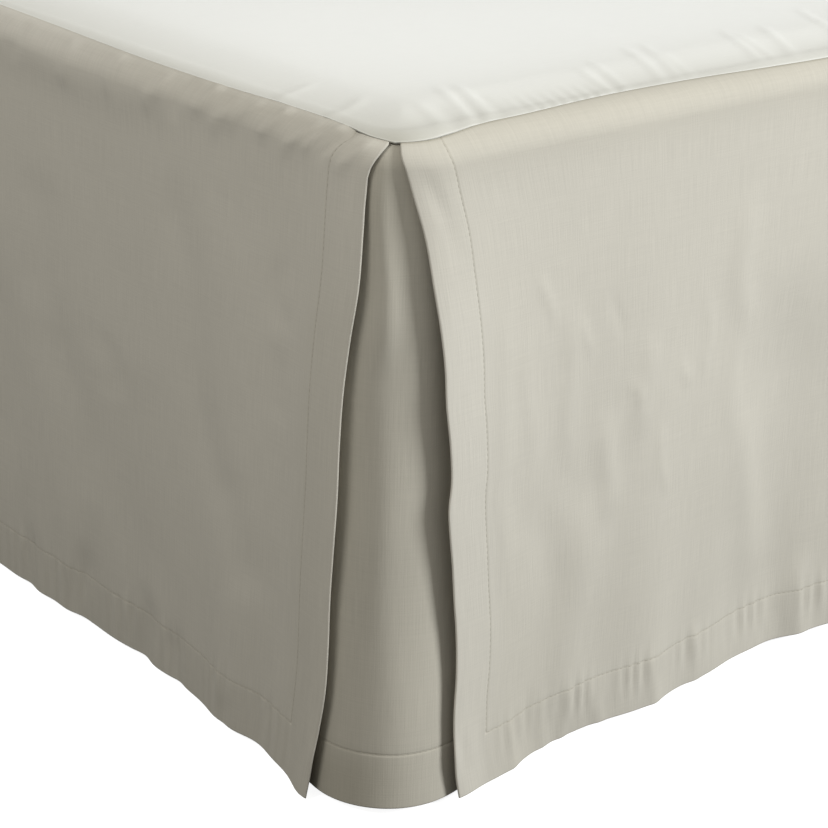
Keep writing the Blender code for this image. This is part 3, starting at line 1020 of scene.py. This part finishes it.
def build_panel(name, node, panel, spans, width, height, shade, material, sign):
    """A panel of this width, hemmed at both ends, as a sheet on its solid's form."""
    hems = end_distances(width)
    shape = Relief(panel, height, sign)
    grid = cloth_grid(panel, spans, panel_shoulder(), PANEL_TURN, PANEL_CLOTH, BOTTOM_HEM)
    thickness = linen_thickness(hems, BOTTOM_HEM, SIDE_HEM)
    distance = edge_distance(panel, (0, width), PANEL_CLOTH)
    obj = hung_sheet(name, shape, *grid, thickness, linen_painted_light_and_shade(panel, hems, shade), distance, material)
    hang(obj, node)
    return shape


def hem_line(shape, start, end):
    spans = np.linspace(start, end, 1200)
    return stitch_run(shape, spans, np.full_like(spans, PANEL_CLOTH - BOTTOM_HEM))


def side_line(shape, span, top):
    downs = np.linspace(top + 0.003, PANEL_CLOTH - BOTTOM_HEM, 400)
    return stitch_run(shape, np.full_like(downs, span), downs)


def foot_panel(walls, material):
    """The foot panel, and the runs of its stitches."""
    half_wall = abs(walls["foot_right"].corner[0])
    width = 2 * (half_wall - BASE_CORNER + HALF_ARC - SPLIT_GAP)
    halves = [
        Panel(walls[wall], FOOT_FLAP, FOOT_FLARE_REACH, folds, FOOT_SLIP, FOOT_TIP_DIP)
        for wall, folds in (("foot_right", FOOT_FOLDS), ("foot_left", far_folds(2 * half_wall)))
    ]
    panel = FootPanel(halves[0], halves[1], width)
    fine = marks(0, FINE_REACH, FINE_STEP, [SIDE_HEM])
    middle = marks(FINE_REACH, width - END_REACH, PLAIN_STEP)
    end = marks(width - END_REACH, width, END_STEP, [width - SIDE_HEM])
    spans = tidy_joins(fine, middle, end)
    height = linen_height(end_distances(width), FOOT_CREASES, FOOT_PUCKER, FOOT_RIPPLE)
    shape = build_panel(
        "skirt_panel_foot", "panel_foot", panel, spans, width, height, FOOT_SHADE, material, FOOT_SIGN
    )
    return [
        hem_line(shape, SIDE_HEM, width - SIDE_HEM),
        side_line(shape, SIDE_HEM, panel.top(np.array(SIDE_HEM))),
        side_line(shape, width - SIDE_HEM, panel.top(np.array(SIDE_HEM))),
    ]


def far_folds(width):
    """The foot's folds as they lie from its other corner."""
    return tuple(fold._replace(along=width - fold.along) for fold in FOOT_FOLDS)


def tidy_joins(*stretches):
    """The stretches as one run of places, without the close marks where two of them meet."""
    joins = [stretch[0] for stretch in stretches[1:]]
    places = np.unique(np.concatenate(stretches))
    for join in joins:
        away = abs(places - join)
        places = places[(away > ROW_APART) | (away == 0)]
    return places


def side_panel(name, node, side, walls, frame_length, material):
    """The side panel at the right (side 1) or the left (-1), and the runs of its stitches."""
    wall = walls["side_right" if side > 0 else "side_left"]
    length = frame_length - HEAD_STOP - BASE_CORNER + HALF_ARC - SPLIT_GAP
    panel = Panel(wall, SIDE_FLAP, SIDE_FLARE_REACH, SIDE_FOLDS, SIDE_SLIP, 0)
    if side > 0:
        near = marks(0, FINE_REACH, FINE_STEP, [SIDE_HEM])
    else:
        near = marks(0, END_REACH, END_STEP, [SIDE_HEM])
    far = marks(near[-1], length, PLAIN_STEP, [length - SIDE_HEM])
    spans = tidy_joins(near, far)
    height = linen_height(end_distances(length), SIDE_CREASES, SIDE_PUCKER, SIDE_RIPPLE)
    shape = build_panel(name, node, panel, spans, length, height, SIDE_SHADE, material, SIDE_SIGN[side])
    return [
        hem_line(shape, SIDE_HEM, length - SIDE_HEM),
        side_line(shape, SIDE_HEM, panel.top(np.array(SIDE_HEM))),
        side_line(shape, length - SIDE_HEM, panel.top(np.array(length))),
    ]


def insert_panel(name, node, side, walls, material):
    """The insert behind a split corner, at the right (side 1) or the left (-1), and its run of stitches."""
    end = "right" if side > 0 else "left"
    insert = Insert(walls[f"foot_{end}"], walls[f"side_{end}"])
    turned = INSERT_ROUND * math.pi / 2
    bottom = turned + DROP - INSERT_ROUND - INSERT_LEVEL

    def height(span, down):
        line = bottom - down - INSERT_HEM
        share = hem_layers(bottom - down, INSERT_HEM)
        puckers = uneven(span, INSERT_PUCKER_PITCH, seed=2.1) * bell(line / INSERT_PUCKER_REACH)
        folds = creased(INSERT_CREASES, span, down)
        return line_dip(line) + HEM_RISE * share + INSERT_PUCKER * puckers + folds

    def thickness(span, down):
        return LINEN_BODY + (LINEN_HEM - LINEN_BODY) * hem_layers(bottom - down, INSERT_HEM)

    # Painted shade: the whole insert darker, as in the shade between the flaps, more near its top, in its hem
    # beside the foot flap and at its stitch line
    def tone(span, down):
        line = bottom - down - INSERT_HEM
        hem = INSERT_HEM_SHADE * smooth((INSERT_HEM_START - line) / INSERT_HEM_FADE)
        hem = hem * (1 - smooth((span + INSERT_SIDE_START) / INSERT_SIDE_FADE))
        top = INSERT_TOP_SHADE * bell((down - INSERT_TOP_DOWN) / INSERT_TOP_WIDTH)
        return stitch_painted_shade(line) * (1 - INSERT_SHADE - hem - top)

    sign = INSERT_SIGN[side]
    shape = Relief(insert, height, sign)
    spans = marks(-INSERT_HALF, INSERT_HALF, FINE_STEP)
    grid = cloth_grid(insert, spans, np.array(INSERT_SHOULDER_MARKS), turned, bottom, INSERT_HEM)
    distance = edge_distance(insert, (-INSERT_HALF, INSERT_HALF), bottom)
    obj = hung_sheet(name, shape, *grid, thickness, tone, distance, material)
    hang(obj, node)
    path = np.linspace(-INSERT_HALF + 0.002, INSERT_HALF - 0.002, 400)
    return [stitch_run(shape, path, np.full_like(path, bottom - INSERT_HEM))]


class Deck:
    """The deck's outer face. A point is (x, y) in the cloth, laid flat and measured from the bed's middle."""

    def __init__(self, frame_box):
        low, high = frame_box
        self.centre_y = (low.y + high.y) / 2
        self.half = (high.x, (high.y - low.y) / 2)
        self.arc_centre = (self.half[0] - BASE_CORNER, self.half[1] - BASE_CORNER)

    def rim(self, x, y):
        """How far the cloth reaches past the shoulder's start, at the side and at the end, at this place."""
        from_foot = self.from_middle(y + self.arc_centre[1], -y - self.arc_centre[1])
        from_side = self.from_middle(self.arc_centre[0] - abs(x), abs(x) - self.arc_centre[0])
        side = PANEL_ROUND * slip(SIDE_SLIP, from_foot) - SEAM_GAP
        foot = PANEL_ROUND * slip(FOOT_SLIP, from_side) - SEAM_GAP
        return side, np.where(y < 0, foot, -SEAM_GAP)

    def from_middle(self, before, within):
        """Distance along the outline from the corner's middle, of a place before the corner or within it."""
        share = np.clip(within / PLAN_RADIUS, 0, 1)
        turn = np.arctan2(share * math.sqrt(0.5), np.sqrt(1 - share * share / 2))
        return np.clip(before, 0, None) + HALF_ARC * (1 - turn / (math.pi / 4))

    def point(self, x, y):
        a = abs(x) - self.arc_centre[0]
        b = abs(y) - self.arc_centre[1]
        corner = (a > 0) & (b > 0)
        size = np.maximum(PLAN_RADIUS, np.maximum(a, b))
        u = np.clip(a / size, 0, 1)
        v = np.clip(b / size, 0, 1)
        u, v = u * np.sqrt(1 - v * v / 2), v * np.sqrt(1 - u * u / 2)
        a = np.where(corner, u * size, a)
        b = np.where(corner, v * size, b)
        far = np.where(corner, np.hypot(a, b), np.maximum(a, b))
        over = np.maximum(far - PLAN_RADIUS, 0)
        angle = over / PANEL_ROUND
        reach = PLAN_RADIUS + PANEL_ROUND * np.sin(angle)
        fall = PANEL_ROUND * (1 - np.cos(angle))
        scale = np.where(over > 0, reach / np.maximum(far, 1e-9), 1.0)
        side_over = ~corner & (a >= b) & (over > 0)
        end_over = ~corner & (b > a) & (over > 0)
        a = np.where(corner, a * scale, np.where(side_over, reach, a))
        b = np.where(corner, b * scale, np.where(end_over, reach, b))
        rise = DECK_CROWN * smooth((PLAN_RADIUS - far) / DECK_SLOPE)
        px = np.sign(x) * (self.arc_centre[0] + a)
        py = np.sign(y) * (self.arc_centre[1] + b) + self.centre_y
        return np.stack([px, py, SEAM_TOP - fall + rise], axis=-1)


def deck_height(half_x, half_y, x, y):
    """The deck's creases near the split corner, and the ridge where its seam is turned under."""
    inward, along = half_x - x, half_y + y
    lift = creased(DECK_CREASES, inward, along)
    start, end = GATHERED
    window = smooth((along - start) / GATHER_FADES[0]) * smooth((end - along) / GATHER_FADES[1])
    window = window * bell((inward - GATHER_INWARD) / GATHER_REACH)
    lean = along - GATHER_LEAN * inward
    lift = lift + GATHER_HEIGHT * np.sin(2 * math.pi * lean / GATHER_PITCH) * window
    near_seam = np.minimum(half_x - abs(x), half_y + y)
    return lift + SEAM_RIDGE * bell((near_seam - SEAM_RIDGE_WIDTH) / SEAM_RIDGE_WIDTH)


def seam_painted_shade_and_highlight(distance, shade, reach):
    """Painted shade darkens the deck towards its seam, and a painted highlight makes its turned edge there
    pale again.
    """
    distance = np.clip(distance, 0, None)
    edge = SEAM_PALE + (1 - SEAM_PALE) * smooth(distance / SEAM_LINE)
    return 1 - shade * np.exp(-distance / reach) * edge


def smooth_border(distance, half):
    """How much of the rim's shift a place in the deck takes: all at the rim, and none within the border."""
    return np.clip((distance - half + DECK_BORDER) / DECK_BORDER, 0, 1)


def deck_sheet(frame_box, material):
    """The deck, with its places close together near the rims and closest at the split corner."""
    deck = Deck(frame_box)
    half_x = deck.arc_centre[0] + PLAN_RADIUS
    half_y = deck.arc_centre[1] + PLAN_RADIUS
    xs = tidy_joins(
        marks(-half_x, -half_x + DECK_BORDER, END_STEP),
        np.arange(-half_x + DECK_BORDER, half_x - DECK_CREASED, DECK_PLAIN),
        np.arange(half_x - DECK_CREASED, half_x - DECK_BORDER, DECK_FINE),
        marks(half_x - DECK_BORDER, half_x, DECK_FINE),
    )
    ys = tidy_joins(
        marks(-half_y, -half_y + DECK_BORDER, DECK_FINE),
        np.arange(-half_y + DECK_BORDER, -half_y + FINE_REACH, DECK_FINE),
        np.arange(-half_y + FINE_REACH, half_y - DECK_BORDER, DECK_PLAIN),
        marks(half_y - DECK_BORDER, half_y, END_STEP),
    )
    x, y = np.meshgrid(xs, ys)
    side, end = deck.rim(x, y)
    stretch_x = smooth_border(abs(x), half_x)
    stretch_y = smooth_border(abs(y), half_y)
    x = x + np.sign(x) * side * stretch_x
    y = y + np.sign(y) * end * stretch_y
    rim_x = half_x + side
    rim_y = half_y + end

    def height(px, py):
        return deck_height(half_x, half_y, px, py)

    shape = Relief(deck, height, DECK_SIGN)
    outer = shape.point(x, y)
    normal = shape.outward(x, y)
    edge = np.minimum(rim_x - abs(x), rim_y - abs(y))
    full = rounding(np.clip(edge * SEAM_SHARPNESS, 0, None), COTTON_BODY)
    middle = outer - normal * COTTON_BODY / 2
    lift = normal * (COTTON_BODY / 2 * full)[..., None]
    uv = np.stack([x, y], axis=-1)
    # Painted shade on the deck near its side and foot seams, with a painted highlight on their turned edges
    side_shade = seam_painted_shade_and_highlight(rim_x - abs(x), SIDE_SEAM_SHADE, SIDE_SEAM_REACH)
    foot_shade = seam_painted_shade_and_highlight(rim_y + y, FOOT_SEAM_SHADE, FOOT_SEAM_REACH)
    obj = closed_sheet("skirt_deck", middle + lift, middle - lift, uv, side_shade * foot_shade, material)
    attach(obj, "root")
    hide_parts("deck")


def camera(frame_box):
    """The photograph's view of the split corner."""
    low, high = frame_box
    corner = Vector((high.x + PANEL_OUT, low.y - PANEL_OUT, SEAM_TOP))
    sy, cy = math.sin(CAMERA_YAW), math.cos(CAMERA_YAW)
    sp, cp = math.sin(CAMERA_PITCH), math.cos(CAMERA_PITCH)
    ahead = Vector((-sy * cp, cy * cp, -sp))
    right = Vector((cy, sy, 0))
    up = right.cross(ahead)
    sr, cr = math.sin(CAMERA_ROLL), math.cos(CAMERA_ROLL)
    right, up = right * cr + up * sr, up * cr - right * sr
    data = bpy.data.cameras.new("photo_camera")
    data.sensor_width = SENSOR
    data.lens = FOCAL_PIXELS / PHOTO_SIZE * SENSOR
    data.clip_start = 0.01
    data.clip_end = 200
    obj = bpy.data.objects.new("photo_camera", data)
    matrix = Matrix.Identity(4)
    for column, axis in enumerate((right, up, -ahead)):
        for row in range(3):
            matrix[row][column] = axis[row]
    matrix.translation = corner + Vector(EYE_FROM_CORNER)
    obj.matrix_world = matrix
    bpy.context.scene.collection.objects.link(obj)
    bpy.context.scene.camera = obj


def lights():
    """A soft lamp from the right and behind, a weaker one near the camera, and pale light from all round."""
    for row in LAMPS:
        lamp = bpy.data.lights.new(row.name, "AREA")
        lamp.shape = "SQUARE"
        lamp.size = row.size
        lamp.energy = row.power
        lamp.color = row.color
        azimuth, elevation = math.radians(row.azimuth), math.radians(row.elevation)
        level = math.cos(elevation)
        away = Vector((math.sin(azimuth) * level, -math.cos(azimuth) * level, math.sin(elevation)))
        obj = bpy.data.objects.new(row.name, lamp)
        obj.location = Vector(LAMP_AIM) + away * row.distance
        obj.rotation_mode = "QUATERNION"
        obj.rotation_quaternion = away.to_track_quat("Z", "Y")
        bpy.context.scene.collection.objects.link(obj)
    world = bpy.data.worlds.new("studio")
    world.use_nodes = True
    nodes = Nodes(world.node_tree)
    world.node_tree.nodes.clear()
    seen = nodes.add("ShaderNodeLightPath").outputs["Is Camera Ray"]
    soft = nodes.add("ShaderNodeBackground", {"Color": (*AMBIENT_COLOR, 1), "Strength": AMBIENT})
    white = nodes.add("ShaderNodeBackground", {"Color": (1, 1, 1, 1), "Strength": 1.0})
    mix = nodes.add("ShaderNodeMixShader", {0: seen, 1: soft.outputs[0], 2: white.outputs[0]}).outputs[0]
    nodes.add("ShaderNodeOutputWorld", {"Surface": mix})
    bpy.context.scene.world = world


def floor():
    """A plain pale floor, which gives the cloth a greyer light than the white that it shows."""
    mesh = bpy.data.meshes.new("floor")
    turns = np.arange(FLOOR_CORNERS) * 2 * math.pi / FLOOR_CORNERS
    points = np.stack([np.cos(turns), np.sin(turns), 0 * turns], axis=-1) * FLOOR_RADIUS
    mesh.from_pydata(points.tolist(), [], [tuple(range(FLOOR_CORNERS))])
    material = bpy.data.materials.new("floor")
    material.use_nodes = True
    nodes = Nodes(material.node_tree)
    material.node_tree.nodes.clear()
    seen = nodes.add("ShaderNodeLightPath").outputs["Is Camera Ray"]
    place = nodes.add("ShaderNodeTexCoord").outputs["Object"]
    axes = nodes.add("ShaderNodeSeparateXYZ", {"Vector": place})
    beyond = [
        nodes.math("SUBTRACT", nodes.math("ABSOLUTE", axes.outputs[axis]), half)
        for axis, half in zip("XY", BED_HALF)
    ]
    away = nodes.math("MAXIMUM", *beyond)
    share = nodes.remap(away, *FLOOR_FADE, *FLOOR_BOUNCE)
    tone = nodes.add("ShaderNodeCombineXYZ", {"X": share, "Y": share, "Z": share}).outputs["Vector"]
    grey = nodes.add("ShaderNodeBsdfDiffuse", {"Color": tone}).outputs[0]
    pale = nodes.add("ShaderNodeBsdfDiffuse", {"Color": (*FLOOR_COLOR, 1)}).outputs[0]
    glow = nodes.add("ShaderNodeEmission", {"Color": (1, 1, 1, 1), "Strength": FLOOR_GLOW}).outputs[0]
    white = nodes.add("ShaderNodeAddShader", {0: pale, 1: glow}).outputs[0]
    mix = nodes.add("ShaderNodeMixShader", {0: seen, 1: grey, 2: white}).outputs[0]
    nodes.add("ShaderNodeOutputMaterial", {"Surface": mix})
    mesh.materials.append(material)
    obj = bpy.data.objects.new("floor", mesh)
    bpy.context.scene.collection.objects.link(obj)


def dress(node, material):
    """Gives a carried-over solid its material."""
    mesh = node.data
    mesh.materials.clear()
    mesh.materials.append(material)


def main():
    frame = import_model()
    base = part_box("base_box")
    walls = {
        f"{face}_{name}": Wall(face, side, base)
        for face in ("foot", "side")
        for name, side in (("right", 1), ("left", -1))
    }
    linen = woven(*LINEN)
    cotton = woven(*COTTON)
    cover = woven(*COVER)
    thread = woven(*THREAD)
    timber = wood("leg_wood")
    for name, node in frame["nodes"].items():
        if name == "base_box":
            dress(node, cover)
        elif name.startswith("leg_"):
            dress(node, timber)
    length = base[1].y - base[0].y
    runs = []
    runs += foot_panel(walls, linen)
    runs += side_panel("skirt_panel_right", "panel_right", 1, walls, length, linen)
    runs += side_panel("skirt_panel_left", "panel_left", -1, walls, length, linen)
    runs += insert_panel("skirt_insert_right", "insert_right", 1, walls, linen)
    runs += insert_panel("skirt_insert_left", "insert_left", -1, walls, linen)
    deck_sheet(base, cotton)
    stitches("skirt_stitches", runs, thread)
    floor()
    lights()
    camera(base)
    bpy.context.scene.view_settings.view_transform = "Standard"


main()
